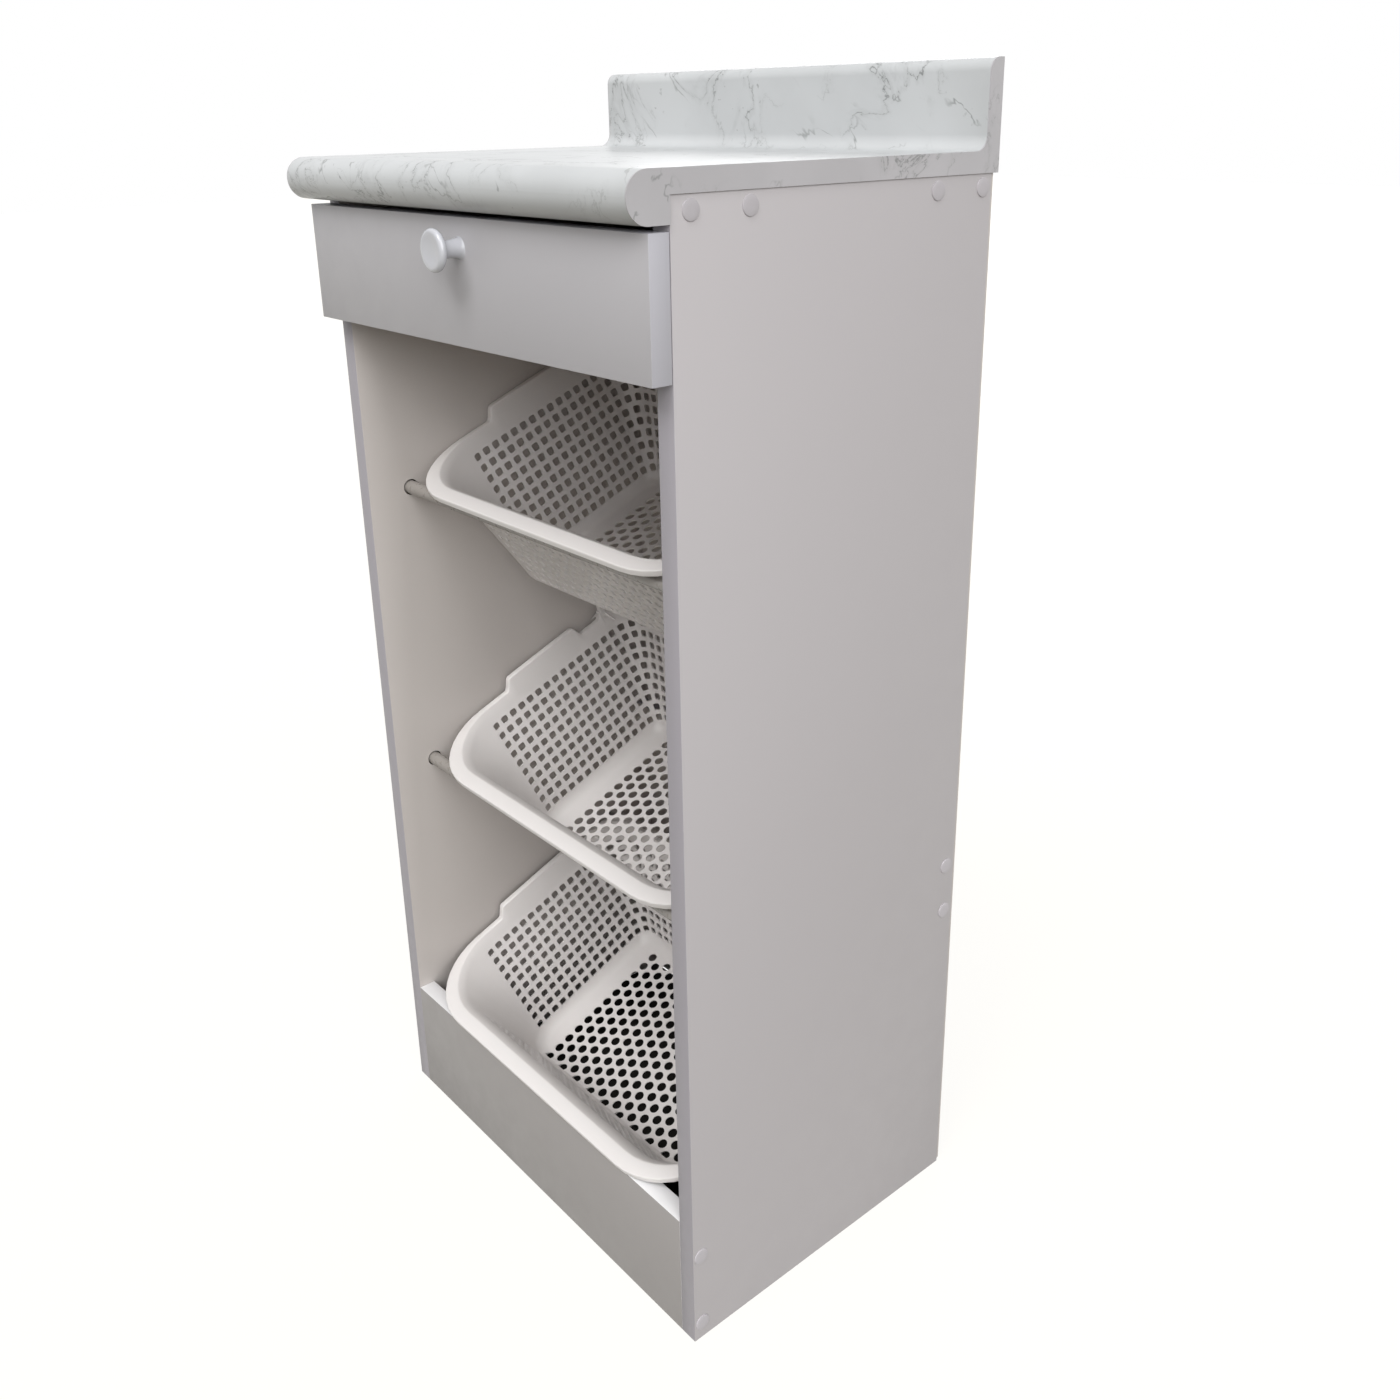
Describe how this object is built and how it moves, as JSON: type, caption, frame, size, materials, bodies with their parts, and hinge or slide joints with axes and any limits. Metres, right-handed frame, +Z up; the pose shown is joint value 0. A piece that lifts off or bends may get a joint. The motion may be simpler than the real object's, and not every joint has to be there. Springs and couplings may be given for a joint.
{
  "type": "kitchen base cabinet with drawer and vegetable baskets",
  "caption": "Narrow white kitchen base cabinet with a marble-look worktop and upstand, a knob drawer on roller runners and tilted perforated plastic vegetable baskets that lift out",
  "frame": {"origin": "middle of the underside of the outer box, on the floor", "axes": "+X to the right seen from the front, +Y to the wall, +Z up"},
  "size_m": [0.44, 0.344, 0.962],
  "materials": {
    "white_board": "white melamine faced chipboard with a fine matt texture",
    "marble_laminate": "glossy laminate with a pale marble pattern of fine grey veins on chipboard",
    "hardboard": "white painted hardboard",
    "basket_plastic": "white injection moulded plastic, satin",
    "white_plastic": "glossy white plastic",
    "roller_nylon": "white nylon",
    "runner_steel": "white powder coat",
    "rod_steel": "white coated steel tube drawn as a solid rod",
    "zinc": "zinc plated"
  },
  "bodies": {
    "carcass": {"side_panel_left": "white_board", "side_panel_right": "white_board", "worktop": "marble_laminate", "worktop_end_left": "marble_laminate", "worktop_end_right": "marble_laminate", "kickboard": "white_board", "top_rail_front": "white_board", "top_rail_rear": "white_board", "low_rail_rear": "white_board", "back_panel": "hardboard", "front_rod_upper": "rod_steel", "front_rod_middle": "rod_steel", "rear_rod_upper": "rod_steel", "rear_rod_middle": "rod_steel", "rear_rod_lower": "rod_steel", "cabinet_runner_left": "runner_steel", "cabinet_runner_right": "runner_steel", "cover_caps": "white_plastic", "carcass_screws": "zinc", "worktop_screws": "zinc", "runner_screws": "zinc", "back_panel_nails": "zinc"},
    "drawer": {"drawer_front": "white_board", "drawer_side_left": "white_board", "drawer_side_right": "white_board", "drawer_back": "white_board", "drawer_bottom": "hardboard", "drawer_runner_left": "runner_steel", "drawer_runner_right": "runner_steel", "corner_blocks": "white_plastic", "corner_block_screws": "zinc", "drawer_side_screws": "zinc", "drawer_runner_screws": "zinc", "knob": "white_plastic", "knob_screw": "zinc"},
    "basket_top": {"basket_top": "basket_plastic"},
    "basket_middle": {"basket_middle": "basket_plastic"},
    "basket_bottom": {"basket_bottom": "basket_plastic"},
    "cabinet_roller_left": {"cabinet_roller_left": "roller_nylon"},
    "cabinet_roller_right": {"cabinet_roller_right": "roller_nylon"},
    "drawer_roller_left": {"drawer_roller_left": "roller_nylon"},
    "drawer_roller_right": {"drawer_roller_right": "roller_nylon"}
  },
  "joints": [
    {"name": "drawer_slide", "type": "slide", "parent": "carcass", "child": "drawer", "axis": [0, -1, 0], "range_m": [0, 0.19]},
    {"name": "cabinet_roller_left_spin", "type": "hinge", "parent": "carcass", "child": "cabinet_roller_left", "pos_m": [-0.1944, -0.1145, 0.792], "axis": [1, 0, 0], "continuous": true},
    {"name": "drawer_roller_left_spin", "type": "hinge", "parent": "drawer", "child": "drawer_roller_left", "pos_m": [-0.1931, 0.1105, 0.792], "axis": [1, 0, 0], "continuous": true},
    {"name": "cabinet_roller_right_spin", "type": "hinge", "parent": "carcass", "child": "cabinet_roller_right", "pos_m": [0.1974, -0.1145, 0.792], "axis": [1, 0, 0], "continuous": true},
    {"name": "drawer_roller_right_spin", "type": "hinge", "parent": "drawer", "child": "drawer_roller_right", "pos_m": [0.1961, 0.1105, 0.792], "axis": [1, 0, 0], "continuous": true},
    {"name": "basket_top_lift", "type": "slide", "parent": "carcass", "child": "basket_top", "axis": [0, -0.3746, 0.9272], "range_m": [0, 0.035]},
    {"name": "basket_middle_lift", "type": "slide", "parent": "carcass", "child": "basket_middle", "axis": [0, -0.3746, 0.9272], "range_m": [0, 0.09]},
    {"name": "basket_bottom_lift", "type": "slide", "parent": "carcass", "child": "basket_bottom", "axis": [0, -0.3746, 0.9272], "range_m": [0, 0.06]}
  ],
  "couplings": [
    {"joint": "cabinet_roller_left_spin", "follows": "drawer_slide", "rad_per_m": 114.94},
    {"joint": "drawer_roller_left_spin", "follows": "drawer_slide", "rad_per_m": 114.94},
    {"joint": "cabinet_roller_right_spin", "follows": "drawer_slide", "rad_per_m": 114.94},
    {"joint": "drawer_roller_right_spin", "follows": "drawer_slide", "rad_per_m": 114.94}
  ]
}
